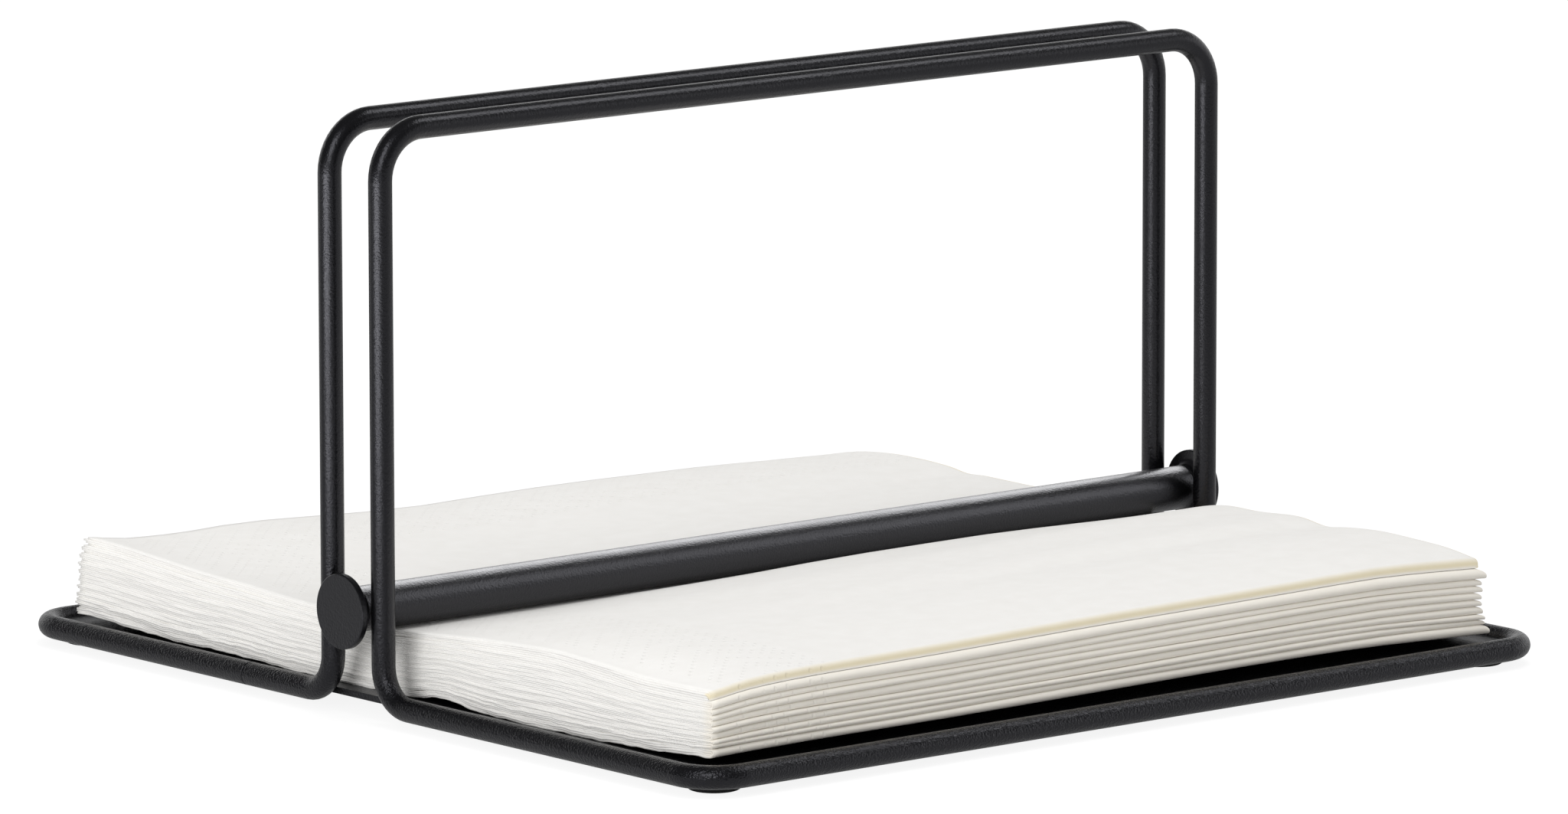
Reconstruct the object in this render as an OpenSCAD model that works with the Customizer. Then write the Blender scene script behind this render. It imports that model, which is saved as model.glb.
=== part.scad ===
// Napkin holder for a table: two bent wire loops stand back to back on a
// sheet-metal plate, and a loose weight bar rides in the slot between them and
// lies on a stack of folded napkins.
// Millimetres, +Z up, front towards -Y, bar along X.
// The origin is on the table, under the middle of the holder.

/* [Napkins] */
// Side of a folded napkin
napkin_l = 184; // [120:1:220]
// Number of napkins in the stack
napkin_count = 10; // [4:1:12]
// Thickness of a folded napkin where the bar presses it
napkin_t = 1.13; // [0.6:0.01:2]
// Rise of the loose stack in front of the bar
front_crown_h = 4.2; // [1:0.1:8]
// Rise of the loose stack behind the bar
rear_crown_h = 2.2; // [1:0.1:8]
// Distance over which the stack rises in front of the bar
front_trough_l = 26; // [18:1:60]
// Distance over which the stack rises behind the bar
rear_trough_l = 40; // [18:1:60]
// Height by which the stack's front edge curls off the plate
front_lift_h = 1.8; // [0:0.1:4]
// Length of that curl, back from the front edge
curl_l = 45; // [20:1:80]
// Air between the two leaves of a folded napkin
leaf_gap = 0.12; // [0.05:0.01:0.2]

/* [Wire loops] */
// Diameter of the wire, with its coating
wire_d = 4.3; // [3:0.1:5]
// Height of an upright, from base wire centre to top wire centre
upright_h = 103; // [70:1:140]
// Centre-line radius of the bends at the top of the uprights
top_bend_r = 9; // [5:0.5:20]
// Centre-line radius of the bends from upright to base
heel_bend_r = 7; // [4:0.5:15]
// Centre-line radius of the bends at the base corners
corner_bend_r = 7.6; // [6.5:0.1:14]
// Distance from an upright to the loop's butt weld
weld_l = 24.5; // [12:0.5:50]
// Space between the napkins and the wires beside them
napkin_margin = 3.85; // [2:0.05:10]

/* [Base plate and feet] */
// Thickness of the plate
plate_t = 1.2; // [0.8:0.1:2]
// Height of the base wires above the table
foot_drop = 1.35; // [0.8:0.05:4]
// Radius of the lower edge of a foot
foot_edge_r = 1; // [0.2:0.1:1.2]

/* [Weight bar] */
// Diameter of the bar, with its coating
bar_d = 8.2; // [6:0.1:12]
// Clearance between the bar and each wire loop
bar_gap = 1.05; // [0.6:0.05:2.5]
// Width by which an end disc laps the wires on each side of the slot
disc_lap = 1.65; // [1:0.05:3]
// Thickness of an end disc
disc_t = 1.3; // [1:0.1:3]
// Play between an end disc and the wires
disc_play = 0.75; // [0.5:0.05:2]
// Length of the neck between the bar and an end disc
neck_l = 2.1; // [1.5:0.1:4]
// Radius of the flare where the neck meets the disc
flare_r = 1.1; // [0.5:0.1:1.4]
// Diameter of the spigot that holds an end cap in the bar
spigot_d = 5; // [3:0.1:5.4]
// Length of the spigot
spigot_l = 8; // [4:0.5:15]

/* [Hidden] */
$fn = 64;

// Clearances and small edges
rest_gap = 0.3;
sheet_gap = 0.06;
weld_gap = 0.05;
foot_gap = 0.5;
spigot_gap = 0.03;
bore_end_gap = 0.3;
disc_edge_r = 0.25;
seam_chamfer = 0.2;
weld_groove_r = 0.3;
weld_groove_depth = 0.12;

// Sizes that follow from the ones above
wire_r = wire_d / 2;
bar_r = bar_d / 2;
slot_w = bar_d + 2 * bar_gap;
napkin_half = napkin_l / 2;
bay_half = napkin_half + napkin_margin;
half_w = bay_half + wire_r;
loop_y = slot_w / 2 + wire_r;
corner_at = half_w - corner_bend_r;
wire_z = foot_drop + wire_r;
top_z = wire_z + upright_h;
plate_z = wire_z - plate_t / 2;
plate_top = plate_z + plate_t;
press_h = napkin_count * napkin_t;
bar_z = plate_top + press_h + rest_gap + bar_r;
disc_r = slot_w / 2 + disc_lap;
disc_at = half_w + wire_r + disc_play;
bar_half = disc_at - neck_l;
spigot_r = spigot_d / 2;
bore_l = spigot_l + bore_end_gap;

// Stations along a napkin's profile, from its fold to its open edge
station_count = 24;
fold_angles = [60, 30, 0, -30, -60];

black = [0.09, 0.09, 0.1];
plate_grey = [0.2, 0.2, 0.21];
bar_black = [0.13, 0.13, 0.14];
rubber_black = [0.05, 0.05, 0.05];
paper_white = [0.94, 0.93, 0.91];

FEET = [
    ["foot_front_left", -1, -1],
    ["foot_front_right", 1, -1],
    ["foot_rear_left", -1, 1],
    ["foot_rear_right", 1, 1]
];
function napkin_name(k) = str("napkin_", k < 10 ? "0" : "", k);

// A quarter bend of the wire, from the X direction to the Y direction
module wire_bend(r) {
    rotate_extrude(angle = 90)
        translate([r, 0])
            circle(d = wire_d);
}

module wire_run(l) {
    cylinder(d = wire_d, h = l);
}

// The right half of a loop's bends and runs: top bend, upright, heel, side wire and corner
module loop_side() {
    translate([half_w - top_bend_r, loop_y, top_z - top_bend_r])
        rotate([90, 0, 0])
            wire_bend(top_bend_r);
    translate([half_w, loop_y, wire_z + heel_bend_r])
        wire_run(upright_h - heel_bend_r - top_bend_r);
    translate([half_w, loop_y + heel_bend_r, wire_z + heel_bend_r])
        rotate([-90, 0, -90])
            wire_bend(heel_bend_r);
    translate([half_w, loop_y + heel_bend_r, wire_z])
        rotate([-90, 0, 0])
            wire_run(corner_at - loop_y - heel_bend_r);
    translate([corner_at, corner_at, wire_z])
        wire_bend(corner_bend_r);
}

// A run along X, centred on the loop
module cross_run(y, z, half) {
    translate([-half, y, z])
        rotate([0, 90, 0])
            wire_run(2 * half);
}

// The shallow ring that the butt weld leaves round the wire
module weld_groove() {
    translate([-half_w, loop_y + weld_l, wire_z])
        rotate([90, 0, 0])
            rotate_extrude()
                translate([wire_r + weld_groove_r - weld_groove_depth, 0])
                    circle(r = weld_groove_r);
}

// One closed loop, bent from one wire: an upright frame and a base frame
module wire_loop() {
    color(black)
        difference() {
            union() {
                cross_run(loop_y, top_z, half_w - top_bend_r);
                cross_run(half_w, wire_z, corner_at);
                loop_side();
                mirror([1, 0, 0]) loop_side();
            }
            weld_groove();
        }
}

// The two loops are the same piece, turned half round
module rear_wire_loop() {
    wire_loop();
}

module front_wire_loop() {
    rotate([0, 0, 180]) wire_loop();
}

// A square with round corners, centred
module round_square(half, r) {
    straight = half - r;
    square([2 * half, 2 * straight], center = true);
    square([2 * straight, 2 * half], center = true);
    for (sx = [-1, 1], sy = [-1, 1])
        translate([sx * straight, sy * straight])
            circle(r = r);
}

// The sheet that fills both base frames and joins them
module base_plate() {
    color(plate_grey)
        translate([0, 0, plate_z])
            linear_extrude(plate_t)
                round_square(bay_half - weld_gap, corner_bend_r - wire_r - weld_gap);
}

// A stick-on foot under a corner of the plate, inside the wire's bend
module foot(sx, sy) {
    foot_r = corner_bend_r - wire_r - foot_gap;
    color(rubber_black)
        translate([sx * corner_at, sy * corner_at, 0])
            rotate_extrude() {
                translate([0, foot_edge_r])
                    square([foot_r, plate_z - foot_edge_r]);
                square([foot_r - foot_edge_r, plate_z]);
                translate([foot_r - foot_edge_r, foot_edge_r])
                    circle(r = foot_edge_r);
            }
}

// The solid round bar, bored at both ends for the caps
module weight_bar() {
    bore_at = bar_half - bore_l;
    color(bar_black)
        translate([0, 0, bar_z])
            rotate([0, 90, 0])
                rotate_extrude()
                    polygon([
                        [0, -bore_at],
                        [spigot_r, -bore_at],
                        [spigot_r, -bar_half],
                        [bar_r - seam_chamfer, -bar_half],
                        [bar_r, seam_chamfer - bar_half],
                        [bar_r, bar_half - seam_chamfer],
                        [bar_r - seam_chamfer, bar_half],
                        [spigot_r, bar_half],
                        [spigot_r, bore_at],
                        [0, bore_at]
                    ]);
}

// Half the outline of a disc with rounded rims, from its inner face up
module disc_outline() {
    square([disc_r - disc_edge_r, disc_t]);
    translate([0, disc_edge_r])
        square([disc_r, disc_t - 2 * disc_edge_r]);
    for (s = [disc_edge_r, disc_t - disc_edge_r])
        translate([disc_r - disc_edge_r, s])
            circle(r = disc_edge_r);
}

// Half the outline of the neck: spigot, chamfered seam and flare
module neck_outline() {
    pin_r = spigot_r - spigot_gap;
    straight = neck_l - flare_r;
    polygon([
        [0, -spigot_l],
        [pin_r - seam_chamfer, -spigot_l],
        [pin_r, seam_chamfer - spigot_l],
        [pin_r, 0],
        [bar_r - seam_chamfer, 0],
        [bar_r, seam_chamfer],
        [bar_r, straight],
        [0, straight]
    ]);
    difference() {
        translate([0, straight])
            square([bar_r + flare_r, flare_r]);
        translate([bar_r + flare_r, straight])
            circle(r = flare_r);
    }
}

// An end cap: a flat disc on a flared neck, held in the bar by a spigot
module end_cap() {
    color(bar_black)
        translate([bar_half, 0, bar_z])
            rotate([0, 90, 0])
                rotate_extrude() {
                    neck_outline();
                    translate([0, neck_l]) disc_outline();
                }
}

// The stack at depth y: pressed under the bar, loose away from it, curled up at the front
function crown_h(y) = y < 0 ? front_crown_h : rear_crown_h;
function trough_l(y) = y < 0 ? front_trough_l : rear_trough_l;
function level(y) = press_h + crown_h(y) * (1 - exp(-pow(y / trough_l(y), 2)));
function curl(y) = max(curl_l - napkin_half - y, 0) / curl_l;
function under_z(y) = plate_top + front_lift_h * pow(curl(y), 2);
function over_z(y) = plate_top + level(y);
function layer_z(y, share) = under_z(y) + (over_z(y) - under_z(y)) * share;
function low_z(k, y) = layer_z(y, (k - 1) / napkin_count) + sheet_gap;
function high_z(k, y) = layer_z(y, k / napkin_count);
function mid_z(k, y) = (low_z(k, y) + high_z(k, y)) / 2;

// A folded napkin in profile: two leaves that join in a round fold at the front
module napkin(k) {
    fold_r = (high_z(k, -napkin_half) - low_z(k, -napkin_half)) / 2;
    fold_y = fold_r - napkin_half;
    step = (napkin_half - fold_y) / station_count;
    ys = [for (i = [0 : station_count]) fold_y + i * step];
    back = [for (i = [station_count : -1 : 0]) ys[i]];
    color(paper_white)
        rotate([90, 0, 90])
            linear_extrude(napkin_l, center = true)
                polygon(concat(
                    [for (y = ys) [y, low_z(k, y)]],
                    [for (y = back) [y, mid_z(k, y) - leaf_gap / 2]],
                    [for (y = ys) [y, mid_z(k, y) + leaf_gap / 2]],
                    [for (y = back) [y, high_z(k, y)]],
                    [for (a = fold_angles)
                        [fold_y - fold_r * cos(a), mid_z(k, fold_y) + fold_r * sin(a)]]
                ));
}

front_wire_loop();
rear_wire_loop();
base_plate();
weight_bar();
mirror([1, 0, 0]) end_cap();  // left_end_cap
end_cap();  // right_end_cap
for (f = FEET)
    foot(f[1], f[2]);
for (k = [1 : napkin_count])
    napkin(k);
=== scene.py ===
# %% [markdown]
# A napkin holder for a table. Two loops of bent black wire stand back to back on a
# plate, and a loose round bar in the slot between them presses down a stack of
# folded paper napkins. The metal pieces come from the CAD model and get their
# finish here. The napkins are folded here, each from one open sheet.

# %% Load the CAD frame
import bpy
import math
import numpy as np
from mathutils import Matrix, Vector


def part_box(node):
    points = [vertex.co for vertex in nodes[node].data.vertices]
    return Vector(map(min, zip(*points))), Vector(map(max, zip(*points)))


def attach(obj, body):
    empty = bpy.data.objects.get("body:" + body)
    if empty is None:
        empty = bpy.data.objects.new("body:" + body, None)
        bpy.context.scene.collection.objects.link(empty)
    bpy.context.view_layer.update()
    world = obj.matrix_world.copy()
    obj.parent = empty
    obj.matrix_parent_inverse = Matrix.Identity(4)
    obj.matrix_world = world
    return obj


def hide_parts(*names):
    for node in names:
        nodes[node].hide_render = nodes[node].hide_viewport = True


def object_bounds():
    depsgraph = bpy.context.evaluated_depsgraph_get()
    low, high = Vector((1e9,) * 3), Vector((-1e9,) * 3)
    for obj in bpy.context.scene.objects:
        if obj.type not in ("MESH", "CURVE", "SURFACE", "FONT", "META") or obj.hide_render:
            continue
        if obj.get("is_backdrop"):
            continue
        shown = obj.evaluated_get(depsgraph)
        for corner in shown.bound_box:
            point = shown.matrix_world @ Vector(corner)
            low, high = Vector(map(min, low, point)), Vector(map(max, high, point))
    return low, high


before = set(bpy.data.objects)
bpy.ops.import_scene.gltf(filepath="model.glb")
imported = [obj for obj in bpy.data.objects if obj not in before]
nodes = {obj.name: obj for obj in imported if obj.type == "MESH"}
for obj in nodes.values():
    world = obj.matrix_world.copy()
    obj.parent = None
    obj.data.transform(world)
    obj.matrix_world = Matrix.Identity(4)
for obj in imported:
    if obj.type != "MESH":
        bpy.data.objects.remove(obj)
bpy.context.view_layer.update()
MM = 0.001


def deselect_all():
    """Leaves nothing selected, so that the next operator acts on its own piece alone."""
    for thing in bpy.context.selected_objects:
        thing.select_set(False)


deselect_all()

# %% [markdown]
# The camera stands low, to the left of the front edge, with a long lens. Its place
# was found by matching the edges of the wires, so the view lines up with no shift.

# %% Camera
CAMERA_AT = (-1.335395, -1.600232, 0.392308)
LOOK_DOWN = 9.441
CAMERA_ROLL = 0.080
CAMERA_TURN = -39.878
LENS = 264.855
SENSOR_WIDTH = 36
SEES_AS_FAR_AS = 50

scene = bpy.context.scene
deselect_all()
bpy.ops.object.camera_add(location=CAMERA_AT)
camera = bpy.context.object
camera.name = "camera"
camera.rotation_euler = (
    math.radians(90 - LOOK_DOWN),
    math.radians(CAMERA_ROLL),
    math.radians(CAMERA_TURN),
)
camera.data.lens = LENS
camera.data.sensor_width = SENSOR_WIDTH
camera.data.clip_end = SEES_AS_FAR_AS
scene.camera = camera
scene.view_settings.view_transform = "Standard"
print("camera is", round(camera.location.length, 2), "m from the holder")

# %% [markdown]
# The finishes below share a few kinds of shader node. Each of these functions makes one
# node, joins it up and returns what it gives. A value is a plain number or colour, or the
# output of another node.

# %% Shader helpers


def new_material(name):
    """An empty node material and its node tree."""
    material = bpy.data.materials.new(name)
    material.use_nodes = True
    material.node_tree.nodes.clear()
    return material, material.node_tree


def feed(tree, value, socket):
    """Joins another node's output to a socket, or sets the socket to a plain value."""
    if isinstance(value, bpy.types.NodeSocket):
        tree.links.new(value, socket)
    else:
        socket.default_value = value


def maths(tree, operation, a, b=0):
    """The result of a maths operation on two values."""
    node = tree.nodes.new("ShaderNodeMath")
    node.operation = operation
    feed(tree, a, node.inputs[0])
    feed(tree, b, node.inputs[1])
    return node.outputs[0]


def vector_maths(tree, operation, vector, fixed, result):
    """The named result of an operation on a vector and a fixed one."""
    node = tree.nodes.new("ShaderNodeVectorMath")
    node.operation = operation
    feed(tree, vector, node.inputs[0])
    feed(tree, fixed, node.inputs[1])
    return node.outputs[result]


def map_range(tree, value, low, high, to_low, to_high, kind="SMOOTHSTEP"):
    """A change from to_low to to_high, while the value goes from low to high."""
    node = tree.nodes.new("ShaderNodeMapRange")
    node.interpolation_type = kind
    for name, number in (("From Min", low), ("From Max", high), ("To Min", to_low),
                         ("To Max", to_high)):
        node.inputs[name].default_value = number
    tree.links.new(value, node.inputs["Value"])
    return node.outputs["Result"]


def coordinates(tree, kind):
    """Coordinates of one kind, such as Object or UV."""
    return tree.nodes.new("ShaderNodeTexCoord").outputs[kind]


def axes(tree, vector):
    """The X, Y and Z of a vector."""
    node = tree.nodes.new("ShaderNodeSeparateXYZ")
    tree.links.new(vector, node.inputs[0])
    return node.outputs


def scaled(tree, vector, scale, turn=0):
    """Coordinates that are turned in their plane and scaled."""
    node = tree.nodes.new("ShaderNodeMapping")
    node.inputs["Rotation"].default_value = (0, 0, turn)
    node.inputs["Scale"].default_value = scale
    tree.links.new(vector, node.inputs["Vector"])
    return node.outputs[0]


def noise(tree, vector, scale, detail=2):
    """Soft noise from 0 to 1."""
    node = tree.nodes.new("ShaderNodeTexNoise")
    node.inputs["Scale"].default_value = scale
    node.inputs["Detail"].default_value = detail
    tree.links.new(vector, node.inputs["Vector"])
    return node.outputs["Fac"]


def shades(tree, value, dark, light, start=0, end=1):
    """A colour from dark to light, while the value goes from start to end."""
    node = tree.nodes.new("ShaderNodeValToRGB")
    first, last = node.color_ramp.elements
    first.position = start
    last.position = end
    first.color = (*dark, 1)
    last.color = (*light, 1)
    tree.links.new(value, node.inputs["Fac"])
    return node.outputs["Color"]


def bump(tree, height, distance, normal=None):
    """A bumped normal; distance is the bump's height in metres."""
    node = tree.nodes.new("ShaderNodeBump")
    feed(tree, distance, node.inputs["Distance"])
    tree.links.new(height, node.inputs["Height"])
    if normal is not None:
        tree.links.new(normal, node.inputs["Normal"])
    return node.outputs["Normal"]


def surface(tree, colour, rough, specular, normal):
    """A Principled shader, joined to the material's output."""
    shader = tree.nodes.new("ShaderNodeBsdfPrincipled")
    feed(tree, colour, shader.inputs["Base Color"])
    feed(tree, rough, shader.inputs["Roughness"])
    feed(tree, specular, shader.inputs["Specular IOR Level"])
    feed(tree, normal, shader.inputs["Normal"])
    out = tree.nodes.new("ShaderNodeOutputMaterial")
    tree.links.new(shader.outputs[0], out.inputs["Surface"])
    return shader


def ray_kinds(tree):
    """Whether a ray comes straight from the camera, and whether from there or a gloss."""
    path = tree.nodes.new("ShaderNodeLightPath").outputs
    straight = maths(tree, "MAXIMUM", path["Is Camera Ray"], path["Is Transmission Ray"])
    return straight, maths(tree, "MAXIMUM", straight, path["Is Glossy Ray"])


def choose(tree, choice, otherwise, chosen, output):
    """Shows the chosen shader where choice is 1, and the other where it is 0."""
    mix = tree.nodes.new("ShaderNodeMixShader")
    tree.links.new(choice, mix.inputs["Fac"])
    tree.links.new(otherwise, mix.inputs[1])
    tree.links.new(chosen, mix.inputs[2])
    out = tree.nodes.new(output)
    tree.links.new(mix.outputs[0], out.inputs["Surface"])


print("shader helpers are ready")

# %% [markdown]
# The set is a plain white table in a white room. The camera sees it white, while the
# light that falls on the object is softer, so that the napkins keep their shades. In
# the gloss the room is white at the right and the back, low down, and dimmer on the
# camera's side, where a studio is dark. What a ray meets depends on its kind, so neither
# the room nor the table is sampled as a lamp, where the kind isn't known.

# %% White room
ROOM_LIGHT = 0.60
ROOM_DIM = 0.12
ROOM_WHITE_AT = (0.90, 0.43, 0)
ROOM_WHITE_SPREAD = (-0.2, 0.5)
ROOM_WHITE_HEIGHT = (0.25, 0.60)
WHITE = (1, 1, 1, 1)


def background(tree, strength):
    """A white background of some strength."""
    node = tree.nodes.new("ShaderNodeBackground")
    node.inputs["Color"].default_value = WHITE
    feed(tree, strength, node.inputs["Strength"])
    return node.outputs[0]


world = bpy.data.worlds.new("white_room")
world.use_nodes = True
world.cycles.sampling_method = "NONE"
scene.world = world
tree = world.node_tree
tree.nodes.clear()
straight, straight_or_gloss = ray_kinds(tree)
direction = coordinates(tree, "Generated")
toward = vector_maths(tree, "DOT_PRODUCT", direction, ROOM_WHITE_AT, "Value")
sideways = map_range(tree, toward, *ROOM_WHITE_SPREAD, 0, 1)
low_down = map_range(tree, axes(tree, direction)["Z"], *ROOM_WHITE_HEIGHT, 1, 0)
white_part = maths(tree, "MULTIPLY", sideways, low_down)
in_gloss = map_range(tree, white_part, 0, 1, ROOM_DIM, 1)
seen = background(tree, maths(tree, "MAXIMUM", straight, in_gloss))
falling = background(tree, ROOM_LIGHT)
choose(tree, straight_or_gloss, falling, seen, "ShaderNodeOutputWorld")
print("room light", ROOM_LIGHT)

# %% [markdown]
# The table keeps the holder's shadow. In the gloss it has a bright pool of light painted
# at the left, under the main light: a glow that no lamp casts. The uprights lean the
# camera's view down to it, and it shows as their long highlight.

# %% Table top
TABLE_SIDE = 12
TABLE_WHITE = 0.8
TABLE_SHADOW_SHARE = 0.18
TABLE_GLOW = 0.885
TABLE_GLOSS_GLOW = 0.38
POOL_GLOW = 7.6
POOL_STRETCH = (1, 2.0, 0)
POOL_AT = (-0.92, -0.30, 0)
POOL_MIDDLE = 0.40
POOL_REACH = 0.76


def matt(tree, grey):
    """A plain matt grey."""
    node = tree.nodes.new("ShaderNodeBsdfDiffuse")
    node.inputs["Color"].default_value = (grey, grey, grey, 1)
    return node.outputs[0]


deselect_all()
bpy.ops.mesh.primitive_plane_add(size=TABLE_SIDE, location=(0, 0, 0))
table = bpy.context.object
table.name = "table_top"
material, tree = new_material("table_white")
material.cycles.emission_sampling = "NONE"
straight, straight_or_gloss = ray_kinds(tree)
stretched = vector_maths(tree, "MULTIPLY", coordinates(tree, "Object"), POOL_STRETCH, "Vector")
away = vector_maths(tree, "DISTANCE", stretched, POOL_AT, "Value")
# A painted pool of light, seen in the gloss alone, under the main light
pool = map_range(tree, away, POOL_MIDDLE, POOL_REACH, POOL_GLOW, TABLE_GLOSS_GLOW)
in_gloss = maths(tree, "MULTIPLY", maths(tree, "SUBTRACT", 1, straight), pool)
strength = maths(tree, "ADD", maths(tree, "MULTIPLY", straight, TABLE_GLOW), in_gloss)
glow = tree.nodes.new("ShaderNodeEmission")
tree.links.new(strength, glow.inputs["Strength"])
shown = tree.nodes.new("ShaderNodeAddShader")
tree.links.new(matt(tree, TABLE_SHADOW_SHARE), shown.inputs[0])
tree.links.new(glow.outputs[0], shown.inputs[1])
lit = matt(tree, TABLE_WHITE)
choose(tree, straight_or_gloss, lit, shown.outputs[0], "ShaderNodeOutputMaterial")
table.data.materials.append(material)
table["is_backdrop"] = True
print("table of", TABLE_SIDE, "m")

# %% [markdown]
# A wide panel at the left, low over the table, is the main light, and grazes the paper.
# A second panel hangs over the holder and lights the top of the stack. Neither shows in
# the gloss, where wires that are seen end on would mirror it as white. Four cards are
# seen in the gloss alone, as a studio's reflectors are. One high at the left carries the
# uprights' highlight on round the top bends, and one high at the right draws a line along
# the level wires. Two are for the bar: one in front lifts its face, and one over the back
# runs light along its top.

# %% Lamps
AIM = (0, 0, 0.03)
LOOPS = ("front_wire_loop", "rear_wire_loop")
BAR = ("weight_bar",)


def lamp(name, place, width, height, radiance, lights=True, gleams=True, only=()):
    """A rectangular lamp that faces the holder; radiance is its brightness, white being 1.

    lights says whether it lights surfaces, and gleams whether it shows in their gloss.
    only names the CAD nodes that it serves, where it doesn't serve all.
    """
    deselect_all()
    bpy.ops.object.light_add(type="AREA", location=place)
    made = bpy.context.object
    made.name = name
    made.data.shape = "RECTANGLE"
    made.data.size = width
    made.data.size_y = height
    made.data.energy = radiance * math.pi * width * height
    aim = [a - p for a, p in zip(AIM, place)]
    flat = math.hypot(aim[0], aim[1])
    made.rotation_euler = (math.atan2(flat, -aim[2]), 0, math.atan2(-aim[0], aim[1]))
    made.visible_diffuse = lights
    made.visible_glossy = gleams
    if only:
        served = bpy.data.collections.new(name + "_lights")
        for node in only:
            served.objects.link(nodes[node])
        made.light_linking.receiver_collection = served
    print(name, "power", round(made.data.energy, 2), "W")


lamp("left_panel", (-1.30, -0.21, 0.33), 1.00, 0.60, 4.0, gleams=False)
lamp("top_panel", (0.10, -0.20, 1.55), 0.80, 0.80, 4.0, gleams=False)
lamp("bend_card", (-0.96, -0.64, 0.74), 0.66, 0.90, 3.2, lights=False, only=LOOPS)
lamp("right_card", (0.80, -0.35, 1.20), 0.60, 0.60, 3.0, lights=False, only=LOOPS)
lamp("front_card", (0.96, -0.80, 0.82), 0.80, 0.80, 2.0, lights=False, only=BAR)
lamp("back_card", (1.00, 0.75, 1.00), 1.00, 0.90, 5.6, lights=False, only=BAR)

# %% [markdown]
# The wires, the plate and the bar are powder coated in black. The powder melts into
# a skin with a fine pebbled face, like orange peel, which breaks the highlights up
# into small flecks. Noise at the size of those pebbles makes the bump, and a second,
# wider noise shifts the gloss and the shade a little, so that no stretch of wire looks
# the same. The coat is coarsest on the base wires.

# %% Powder coat
PEBBLE = 0.40 * MM
PEBBLE_DETAIL = 1.5
CLOUD = 9 * MM
CLOUD_DETAIL = 3
CLOUD_RANGE = (0.3, 0.7)
SHADE_SPREAD = 0.15
GLOSS_SPREAD = 0.03
COARSER_BELOW = 2.8
COARSE_TO = 6 * MM
FINE_FROM = 20 * MM
COAT_TINT = (0.91, 0.91, 1, 1)


def powder_coat(name, black, rough, specular, pebble_height):
    """Pebbled black coat; black is its colour, pebble_height the bump in metres."""
    material, tree = new_material(name)
    place = coordinates(tree, "Object")
    pebbles = noise(tree, place, 1 / PEBBLE, PEBBLE_DETAIL)
    clouds = noise(tree, place, 1 / CLOUD, CLOUD_DETAIL)
    dark = [c * (1 - SHADE_SPREAD) for c in black]
    light = [c * (1 + SHADE_SPREAD) for c in black]
    colour = shades(tree, clouds, dark, light, *CLOUD_RANGE)
    least, most = rough - GLOSS_SPREAD, rough + GLOSS_SPREAD
    gloss = map_range(tree, clouds, *CLOUD_RANGE, least, most, kind="LINEAR")
    coarse = pebble_height * COARSER_BELOW
    level = axes(tree, place)["Z"]
    height = map_range(tree, level, COARSE_TO, FINE_FROM, coarse, pebble_height)
    shader = surface(tree, colour, gloss, specular, bump(tree, pebbles, height))
    shader.inputs["Specular Tint"].default_value = COAT_TINT
    return material


wire_coat = powder_coat("wire_coat", (0.003, 0.003, 0.0036), 0.28, 0.46, 0.06 * MM)
plate_coat = powder_coat("plate_coat", (0.004, 0.004, 0.0046), 0.36, 0.46, 0.05 * MM)
bar_coat = powder_coat("bar_coat", (0.004, 0.004, 0.0046), 0.34, 0.54, 0.06 * MM)


def dress(names, material):
    """Gives CAD nodes one finish, in place of the plain colour that they came with."""
    for name in names:
        mesh = nodes[name].data
        mesh.materials.clear()
        mesh.materials.append(material)
    print(material.name, "on", ", ".join(names))


dress(LOOPS, wire_coat)
dress(("base_plate",), plate_coat)
dress(("weight_bar", "left_end_cap", "right_end_cap"), bar_coat)

# %% [markdown]
# The four feet are dull black rubber with a fine grain.

# %% Rubber
GRAIN = 0.3 * MM
GRAIN_HEIGHT = 0.03 * MM
RUBBER_DARK = (0.008, 0.008, 0.008)
RUBBER_LIGHT = (0.016, 0.016, 0.016)
RUBBER_ROUGH = 0.8
RUBBER_SPECULAR = 0.2

rubber, tree = new_material("foot_rubber")
grain = noise(tree, coordinates(tree, "Object"), 1 / GRAIN)
colour = shades(tree, grain, RUBBER_DARK, RUBBER_LIGHT)
surface(tree, colour, RUBBER_ROUGH, RUBBER_SPECULAR, bump(tree, grain, GRAIN_HEIGHT))
dress([n for n in nodes if n.startswith("foot_")], rubber)

# %% [markdown]
# The napkins are soft white tissue. A border is pressed into each open sheet along its
# four sides, to hold the plies together: chevrons of small dots, and a row of dots on
# the inner side. On the folded napkin the border runs along the two cut edges and over
# the folds. It follows the sheet's own UV map, whose unit is the open sheet, so that it
# folds with the paper. A warm shade is painted into the paper along its creases, for the
# light that bounces between the folds, and a stronger cream glow is painted into the top
# napkin's fold, for light shining through its thin paper. Lengths on the sheet are in
# millimetres.

# %% Tissue paper
SHEET = 368
DOT_PITCH = 1.9
DOT_RIM = (0.08, 0.24)
DOT_DEPTH = 0.10 * MM
BORDER_OUT = 4
BORDER_IN = 27
CHEVRON = 6.7
STROKE_SHARE = 0.55
CREPE = (3.0, 0.7)
CREPE_DEPTH = 0.03 * MM
TISSUE_CLOUDS = 90
TISSUE_CLOUD_DETAIL = 4
TISSUE_CLOUD_RANGE = (0.25, 0.75)
TISSUE_DARK = (0.880, 0.866, 0.838)
TISSUE_LIGHT = (0.910, 0.898, 0.874)
TISSUE_ROUGH = 0.9
TISSUE_SPECULAR = 0.15


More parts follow.
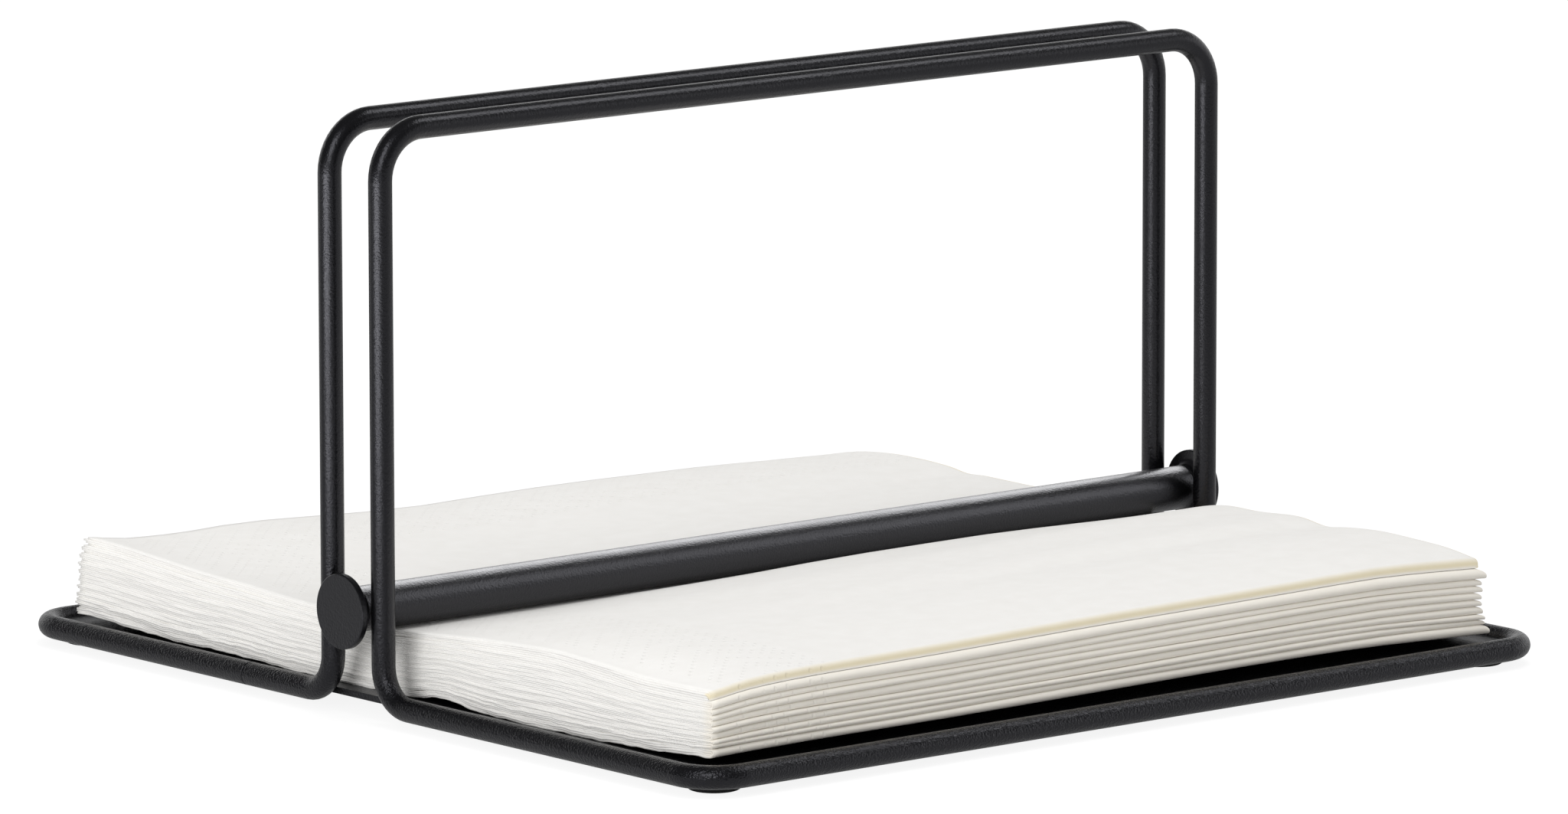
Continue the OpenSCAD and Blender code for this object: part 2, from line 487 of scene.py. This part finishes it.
def border_dots(tree, place, to_edge, to_crease):
    """Height of the pressed border: -1 in its dots, and 0 elsewhere."""
    inside = maths(tree, "LESS_THAN", to_edge, BORDER_IN)
    border = maths(tree, "MULTIPLY", inside, maths(tree, "GREATER_THAN", to_edge, BORDER_OUT))
    middle = (BORDER_OUT + BORDER_IN) / 2
    slant = maths(tree, "ABSOLUTE", maths(tree, "SUBTRACT", to_edge, middle))
    share = maths(tree, "DIVIDE", maths(tree, "ADD", to_crease, slant), CHEVRON)
    stroke = maths(tree, "LESS_THAN", maths(tree, "FRACT", share), STROKE_SHARE)
    inner_row = maths(tree, "GREATER_THAN", to_edge, BORDER_IN - DOT_PITCH)
    border = maths(tree, "MULTIPLY", border, maths(tree, "MAXIMUM", stroke, inner_row))
    dots = tree.nodes.new("ShaderNodeTexVoronoi")
    dots.voronoi_dimensions = "2D"
    dots.inputs["Scale"].default_value = 1
    dots.inputs["Randomness"].default_value = 0
    lattice = scaled(tree, place, (SHEET / DOT_PITCH,) * 3, math.radians(45))
    tree.links.new(lattice, dots.inputs["Vector"])
    dent = map_range(tree, dots.outputs["Distance"], *DOT_RIM, -1, 0)
    return maths(tree, "MULTIPLY", dent, border)


def tissue_paper(name, painted_warmth_tint, painted_warmth_reach):
    """White tissue with a dotted border, fine crepe, faint clouds, and a warm tint painted
    along its creases for the light and shade in the folds.

    The painted tint fades out at the given reach, in mm of paper, from the line of a crease.
    """
    material, tree = new_material(name)
    place = coordinates(tree, "UV")
    across, along, _ = axes(tree, place)
    from_middle = [
        maths(tree, "ABSOLUTE", maths(tree, "SUBTRACT", axis, 0.5)) for axis in (across, along)
    ]
    outward = maths(tree, "MAXIMUM", *from_middle)
    to_edge = maths(tree, "MULTIPLY", maths(tree, "SUBTRACT", 0.5, outward), SHEET)
    to_crease = maths(tree, "MULTIPLY", maths(tree, "MINIMUM", *from_middle), SHEET)

    dots = border_dots(tree, place, to_edge, to_crease)
    crepe = noise(tree, scaled(tree, place, (SHEET / CREPE[0], SHEET / CREPE[1], 1)), 1)
    normal = bump(tree, crepe, CREPE_DEPTH, bump(tree, dots, DOT_DEPTH))

    clouds = noise(tree, place, TISSUE_CLOUDS, TISSUE_CLOUD_DETAIL)
    white = shades(tree, clouds, TISSUE_DARK, TISSUE_LIGHT, *TISSUE_CLOUD_RANGE)
    # Painted shade: a warm tint multiplied into the colour near each crease, for light bounced
    # and shone through the folded paper
    painted_warmth = tree.nodes.new("ShaderNodeMix")
    painted_warmth.data_type = "RGBA"
    painted_warmth.blend_type = "MULTIPLY"
    painted_warmth.inputs["B"].default_value = (*painted_warmth_tint, 1)
    tree.links.new(map_range(tree, to_crease, 0, painted_warmth_reach, 1, 0), painted_warmth.inputs["Factor"])
    tree.links.new(white, painted_warmth.inputs["A"])
    surface(tree, painted_warmth.outputs["Result"], TISSUE_ROUGH, TISSUE_SPECULAR, normal)
    return material


# Painted light: a warm shade along every napkin's creases, and a stronger cream glow in the
# top napkin's thin fold
napkin_paper = tissue_paper("napkin_paper", (1, 0.97, 0.91), 3.6)
top_napkin_painted_glow_paper = tissue_paper("top_napkin_painted_glow_paper", (0.95, 0.87, 0.66), 1.2)
print("tissue with dots every", DOT_PITCH, "mm")

# %% [markdown]
# Ten napkins lie in the holder. The bar presses the stack flat along its middle, and
# away from the bar the paper springs up. The heights below, in millimetres above the
# table, follow the four edges of the stack: each pair is a place on the edge and the
# height there. A patch stretched between them, with the pressed line in the middle,
# gives the top of the stack at any place.

# %% Heights of the stack
COUNT = 10
SIDE = SHEET / 2
EDGE = SIDE / 2
PRESSED_HEIGHT = 11.3
plate_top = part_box("base_plate")[1].z / MM
press_top = plate_top + PRESSED_HEIGHT

FRONT_TOP = ((-92, 17.9), (-85, 19.0), (-70, 19.5), (-40, 19.6), (0, 20.1), (40, 20.3),
             (64, 20.5), (74, 20.1), (84, 19.5), (92, 19.0))
REAR_TOP = ((-92, 19.8), (-82, 18.2), (-70, 17.8), (-60, 18.0), (-50, 18.0), (-40, 17.4),
            (-25, 16.6), (-10, 16.2), (10, 16.6), (30, 16.4), (46, 16.1), (62, 15.7),
            (77, 15.0), (92, 14.6))
LEFT_TOP = ((-92, 17.6), (-73, 18.4), (-47, 18.6), (-32, 17.5), (-18, 16.6), (-8, 15.8),
            (0, press_top), (20, 16.4), (33, 16.8), (45, 17.4), (58, 17.8), (68, 18.5),
            (79, 19.3), (92, 19.7))
RIGHT_TOP = ((-92, 19.3), (-89, 19.8), (-84, 20.8), (-73, 21.2), (-65, 21.5), (-60, 21.1),
             (-55, 20.9), (-50, 19.5), (-45, 21.4), (-40, 21.1), (-35, 20.7), (-30, 20.4),
             (-25, 20.8), (-20, 20.4), (-17, 19.6), (-7, 16.8), (0, press_top), (10, 16.0),
             (25, 16.8), (37, 16.9), (46, 17.0), (55, 17.4), (64, 17.9), (73, 17.9),
             (82, 17.2), (87, 16.4), (92, 14.9))
# Rise of the paper against the front of the bar, along the bar
HUG = ((-92, 0), (-52, 0), (-40, 0.5), (-10, 0.9), (8, 1.4), (45, 1.3), (60, 0.8), (75, 0.3),
       (92, 0))
HUG_AT = 8
# Droop of the top towards the left edge, along that edge
LEFT_DROOP = ((-92, 0.3), (-73, 1.5), (-64, 1.0), (-47, 0.4), (-30, 0), (92, 0))
DROOP_REACH = 9
# Lift of the underside at the front, along the front
FRONT_LIFT = ((-92, 1.7), (-66, 2.0), (-40, 2.0), (0, 2.3), (40, 2.65), (62, 2.5), (80, 1.8),
              (92, 1.3))
LIFT_REACH = 45
# A soft crease behind the bar, from the right edge: its place, width and depth
CREASE_AT = 51.5
CREASE_WIDTH = 3.5
CREASE_DEPTH = 0.45
# Places where the underside of the stack stands off the plate: x, y, reach, height
WAVES_BELOW = ((-92, 92, 25, 1.4), (-92, -17.5, 8, 1.1), (-92, 45, 10, 0.4))
print("stack of", COUNT, "napkins, pressed to", PRESSED_HEIGHT, "mm under the bar")

# %% [markdown]
# The lines through those heights are made smooth, and the patch between them gives the
# top. Under the bar the top stays just clear of it. The underside lies on the plate, and
# curls off it at the front and at a few places on the left.

# %% The stack's top and underside
LINE_STEP = 0.5
LINE_MARGIN = 20
KERNEL_REACH = 4
EDGE_BLUR = 3
LIFT_BLUR = 5
HUG_BLUR = 6
BAR_CLEARANCE = 0.15


def soft_line(stations, blur=EDGE_BLUR):
    """A smooth line through stations along an edge, as a function of the place on it."""
    at, height = zip(*stations)
    end = EDGE + LINE_MARGIN
    fine = np.arange(-end, end + LINE_STEP, LINE_STEP)
    raw = np.interp(fine, at, height)
    half = KERNEL_REACH * blur
    reach = np.arange(-half, half + LINE_STEP, LINE_STEP)
    kernel = np.exp(-0.5 * (reach / blur) ** 2)
    kernel /= kernel.sum()
    pad = len(reach) // 2
    smooth = np.convolve(np.pad(raw, pad, mode="edge"), kernel, mode="valid")
    return lambda p: np.interp(p, fine, smooth)


front_top, rear_top = soft_line(FRONT_TOP), soft_line(REAR_TOP)
left_top, right_top = soft_line(LEFT_TOP), soft_line(RIGHT_TOP)
left_droop, front_lift = soft_line(LEFT_DROOP), soft_line(FRONT_LIFT, LIFT_BLUR)
hug = soft_line(HUG, HUG_BLUR)
bar_low, bar_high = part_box("weight_bar")
bar_z = (bar_low.z + bar_high.z) / 2 / MM
bar_clear_r = (bar_high.z - bar_low.z) / 2 / MM + BAR_CLEARANCE


def stack_top(x, y):
    """Height of the stack's top: a patch between its edges and the line under the bar."""
    across = (x + EDGE) / SIDE
    depth = np.clip(np.abs(y) / EDGE, 0, 1)
    far = np.where(y < 0, front_top(x), rear_top(x))
    corner_l = np.where(y < 0, front_top(-EDGE), rear_top(-EDGE))
    corner_r = np.where(y < 0, front_top(EDGE), rear_top(EDGE))
    sides = left_top(y) * (1 - across) + right_top(y) * across
    ends = press_top * (1 - depth) + far * depth
    corners = press_top * (1 - depth) + (corner_l * (1 - across) + corner_r * across) * depth
    droop = left_droop(y) * np.exp(-(((x + EDGE) / DROOP_REACH) ** 2))
    near = np.clip(-y / HUG_AT, 0, None) ** 2
    crease = CREASE_DEPTH * across**2 * np.exp(-(((y - CREASE_AT) / CREASE_WIDTH) ** 2))
    height = sides + ends - corners - droop - crease + hug(x) * near * np.exp(1 - near)
    under_bar = bar_z - np.sqrt(np.clip(bar_clear_r**2 - y**2, 0, None))
    return np.where(np.abs(y) < bar_clear_r, np.minimum(height, under_bar), height)


def stack_underside(x, y):
    """Height of the stack's underside, which curls off the plate at the front."""
    curl = np.clip((LIFT_REACH - EDGE - y) / LIFT_REACH, 0, 1)
    height = plate_top + front_lift(x) * curl**2
    for wx, wy, reach, rise in WAVES_BELOW:
        height = height + rise * np.exp(-((x - wx) ** 2 + (y - wy) ** 2) / reach**2)
    return height


for spot in ((-92, -92), (0, -60), (92, -60), (0, 0), (0, 60), (92, 90)):
    low, high = stack_underside(*spot), stack_top(*spot)
    print("stack at", spot, "from", round(float(low), 1), "to", round(float(high), 1), "mm")

# %% [markdown]
# In the middle of the stack every napkin takes the same height. At the front folds
# they differ: the lower ones lie tight, the second from the top is full of air, and
# the top one lies a little further back, so that the one below shows as a white rim.
# The rows below count from the lowest napkin, in millimetres or shares of the stack.

# %% Where each napkin lies in the stack
FOLD_HEIGHTS = (1.7, 1.1, 1.1, 1.3, 1.2, 1.5, 1.2, 1.1, 1.8, 2.0)
FOLD_REACH = 34
# The lines between the napkins roam up and down along the front
FOLD_ROAM = (0, 0.008, 0.008, 0.01, 0.01, 0.01, 0.008, 0.008, 0.006, 0, 0)
ROAM_LENGTH = 14
ROAM_PHASE = 1.7
# How far the folds and cut edges lie inside the full square
FRONT_INSET = (0, 0.1, 0, 0.25, 0.05, 0.2, 0.05, 0.2, 0, 1.1)
RIGHT_INSET = (0, 0.9, 1.1, 1.4, 1.8, 1.9, 1.6, 1.8, 0.85, 2.0)
LEFT_INSET = (-0.5, -0.6, -0.3, -0.1, 0, 0.2, 0.2, 0.5, 0.9, 1.6)
FRONT_SWAY = 0.25
SWAY_LENGTH = 17
SWAY_PHASE = 2.4
# Towards the right fold a napkin gets thinner, down to this share
BEAK_REACH = 2.6
BEAK_SHARE = (0.45,) * (COUNT - 1) + (0.8,)

even = np.arange(COUNT + 1) / COUNT
folded = np.concatenate([[0], np.cumsum(FOLD_HEIGHTS)]) / sum(FOLD_HEIGHTS)


def napkin_space(k, x, y):
    """Lowest and highest place of napkin k, counted from 0 at the plate, at x and y."""
    near_fold = np.exp(-(((y + EDGE) / FOLD_REACH) ** 2))
    under, top = stack_underside(x, y), stack_top(x, y)
    bounds = []
    for i in (k, k + 1):
        roam = FOLD_ROAM[i] * np.sin(x / ROAM_LENGTH + ROAM_PHASE * i)
        share = even[i] + (folded[i] - even[i] + roam) * near_fold
        bounds.append(under + (top - under) * share)
    low, high = bounds
    beak = np.clip((EDGE - RIGHT_INSET[k] - x) / BEAK_REACH, 0, 1)
    thin = BEAK_SHARE[k] + (1 - BEAK_SHARE[k]) * np.sqrt(1 - (1 - beak) ** 2)
    return low, low + (high - low) * thin


low, high = napkin_space(COUNT - 1, 0, -EDGE)
print("the top napkin's fold is", round(float(high - low), 2), "mm high")

# %% [markdown]
# A napkin starts as one open square sheet. It is folded in half to the left of a
# crease at the right, and in half again over a crease at the front, so that the cut
# edges lie at the left and the rear. The grid's rows and columns stand closest where
# the paper bends, at the creases, and at the cut edges, where it crinkles.

# %% Fold a sheet
COLUMNS = [0, 0.07, 0.14, 0.21, 0.28, 0.6, 1.2, 2, 3, 5, 8, 12, 18, 26, 36, 48, 62, 76, 90,
           104, 118, 130, 142, 152, 160, 166, 171, 175, 178, 180.5, 182.5, SIDE]
ROWS = [0, 0.2, 0.4, 0.6, 0.8, 1.0, 1.3, 1.7, 2.2, 3, 4, 5.5, 7, 9, 11, 13.5]
ROWS += list(np.arange(15, 175, 1.25)) + [176, 178, 180, 182, SIDE]
LAYERS = 4
MIDDLE = (LAYERS - 1) / 2
QUARTER_TURN = math.pi / 2


def lay_grid(name):
    """A flat grid with the sheet's rows and columns, and its points' places on the sheet."""
    columns = np.array([-c for c in COLUMNS[:0:-1]] + COLUMNS)
    rows = np.array([-r for r in ROWS[:0:-1]] + ROWS)
    deselect_all()
    bpy.ops.mesh.primitive_grid_add(
        x_subdivisions=len(columns) - 1, y_subdivisions=len(rows) - 1, size=2
    )
    piece = bpy.context.object
    piece.name = name
    spots = np.zeros(len(piece.data.vertices) * 3)
    piece.data.vertices.foreach_get("co", spots)
    share = (spots.reshape(-1, 3) + 1) / 2
    column = np.rint(share[:, 0] * (len(columns) - 1)).astype(int)
    row = np.rint(share[:, 1] * (len(rows) - 1)).astype(int)
    return piece, columns[column], rows[row]


def fold_sheet(k, u, v):
    """Places, in mm, of the sheet's points (u, v) in napkin k, and the height of a layer."""
    right = EDGE - RIGHT_INSET[k]
    run = (SIDE - RIGHT_INSET[k] - LEFT_INSET[k] * np.abs(v) / SIDE) / SIDE
    flat_x = right - np.abs(u) * run
    sway = FRONT_SWAY * (1 + np.sin(flat_x / SWAY_LENGTH + SWAY_PHASE * k)) / 2
    front = FRONT_INSET[k] + sway - EDGE
    run_back = (EDGE - front) / SIDE
    flat_y = front + np.abs(v) * run_back

    # The first fold, over the crease at the right
    low, high = napkin_space(k, np.full_like(u, right), flat_y)
    crease_r = (high - low) / LAYERS / 2
    turn = np.clip(np.abs(u) / crease_r, 0, QUARTER_TURN) * np.sign(u)
    bend = np.where(np.abs(turn) < QUARTER_TURN, crease_r * (1 - np.cos(turn)), crease_r)
    x = right - bend - np.maximum(np.abs(u) - crease_r * QUARTER_TURN, 0) * run
    half = (1 + np.sin(turn)) / 2

    # The second, over the crease at the front. The top napkin's is upright below its
    # middle, so that no groove opens under it
    low, high = napkin_space(k, flat_x, front)
    fold_r = (MIDDLE - half) * (high - low) / LAYERS
    outer_r = MIDDLE * (high - low) / LAYERS
    turn = np.clip(np.abs(v) / fold_r, 0, QUARTER_TURN) * np.sign(v)
    bulge = (1 + np.sin(turn)) / 2 if k == COUNT - 1 else 1
    y = front + (outer_r - fold_r * np.cos(turn)) * bulge
    y = y + np.maximum(np.abs(v) - fold_r * QUARTER_TURN, 0) * run_back

    layer = MIDDLE + np.sin(turn) * (MIDDLE - half)
    low, high = napkin_space(k, x, y)
    pitch = (high - low) / LAYERS
    return x, y, low + pitch * (layer + 0.5), pitch


print("sheets of", 2 * len(COLUMNS) - 1, "by", 2 * len(ROWS) - 1, "points")

# %% [markdown]
# The cut edges of a napkin's layers don't lie quite over each other: they run in and out
# a little, and crinkle up and down, most of all in the lowest two napkins. The paper gets
# a thickness that almost fills its layer.

# %% Cut edges and thickness
dice = np.random.default_rng(7)
PHASES = (0, 6.3)
CUT_REACH = 5
CUT_LENGTHS = (60, 23)
CUT_SWAY = (0.04, 0.10)
INNER_SHIFT = (0, 0.04)
OUTER_SHIFT = (0.06, 0.14)
RIPPLES = ((17, 0.050), (7.3, 0.035), (4.1, 0.030))
LOOSE_COUNT = 2
LOOSE_SHARE = 1.6
CALM_SHARE = 0.2
REAR_SHARE = 0.4
PAPER_SHARE = 0.985
PAPER_MAX = 0.55
WEIGHT_STEPS = 100


def wave(along, waves):
    """A sum of gentle waves along an edge; each wave is its length, height and phase."""
    return sum(h * np.sin(2 * math.pi * along / l + p) for l, h, p in waves)


def crinkle_edges(k, u, v, x, y, z):
    """Moves the points of napkin k that lie near its cut edges, in place."""
    quarter = np.where(u < 0, 0, 1) + np.where(v < 0, 0, 2)
    near_left = np.exp(-(((SIDE - np.abs(u)) / CUT_REACH) ** 2))
    near_rear = np.exp(-(((SIDE - np.abs(v)) / CUT_REACH) ** 2))
    for q in range(LAYERS):
        mine = quarter == q
        sway = [(l, dice.uniform(*CUT_SWAY), dice.uniform(*PHASES)) for l in CUT_LENGTHS]
        shift = -dice.uniform(*(INNER_SHIFT if q in (1, 3) else OUTER_SHIFT))
        x[mine] -= (near_left * (shift + wave(y, sway)))[mine]
        y[mine] += (near_rear * (shift + wave(x, sway)))[mine]
    ripples = [(l, h, dice.uniform(*PHASES)) for l, h in RIPPLES]
    left_share = LOOSE_SHARE if k < LOOSE_COUNT else CALM_SHARE
    z += near_left * wave(y, ripples) * left_share
    z += near_rear * wave(x, ripples) * REAR_SHARE


def give_thickness(piece, pitch):
    """Makes paper of a folded face; pitch is the height of a layer at each point."""
    thick = np.minimum(pitch * PAPER_SHARE, PAPER_MAX) / PAPER_MAX
    step_at = np.rint(thick * WEIGHT_STEPS).astype(int)
    group = piece.vertex_groups.new(name="paper")
    for step in range(1, WEIGHT_STEPS + 1):
        members = np.flatnonzero(step_at == step)
        if len(members):
            group.add(members.tolist(), step / WEIGHT_STEPS, "REPLACE")
    wall = piece.modifiers.new("paper", "SOLIDIFY")
    wall.thickness = PAPER_MAX * MM
    wall.offset = 0
    wall.vertex_group = group.name
    bpy.ops.object.modifier_apply(modifier=wall.name)


print("paper of up to", PAPER_MAX, "mm")

# %% [markdown]
# Each napkin takes the place of its CAD solid and rests on the one below. The border is
# shifted a little from sheet to sheet, as cut tissue has it.

# %% Make the napkins
BORDER_SHIFT = (0.4, -0.9, 0.8, -0.2, 1.1, -0.6, 0.1, -1.1, 0.6, 0)
SHARP_FROM = math.radians(50)


def make_napkin(k):
    """One napkin: a grid laid out as an open sheet, folded, and given its thickness."""
    piece, u, v = lay_grid(f"folded_napkin_{k + 1:02d}")
    mesh = piece.data
    x, y, z, pitch = fold_sheet(k, u, v)
    crinkle_edges(k, u, v, x, y, z)
    mesh.vertices.foreach_set("co", (np.c_[x, y, z] * MM).ravel())
    on_sheet = np.c_[u + BORDER_SHIFT[k], v] / SHEET + 0.5
    corners = np.zeros(len(mesh.loops), int)
    mesh.loops.foreach_get("vertex_index", corners)
    mesh.uv_layers[0].data.foreach_set("uv", on_sheet[corners].ravel())
    bpy.ops.object.shade_smooth_by_angle(angle=SHARP_FROM)
    give_thickness(piece, pitch)
    mesh.materials.append(top_napkin_painted_glow_paper if k == COUNT - 1 else napkin_paper)
    return piece


for k in range(COUNT):
    napkin = make_napkin(k)
    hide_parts(f"napkin_{k + 1:02d}")
    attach(napkin, "frame")
print(COUNT, "napkins of", len(napkin.data.polygons), "faces each")

# %% [markdown]
# Last, the size of the dressed model is printed, in millimetres.

# %% Finish
low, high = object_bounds()
print("visual box, mm:", [round(c / MM, 1) for c in (*low, *high)])
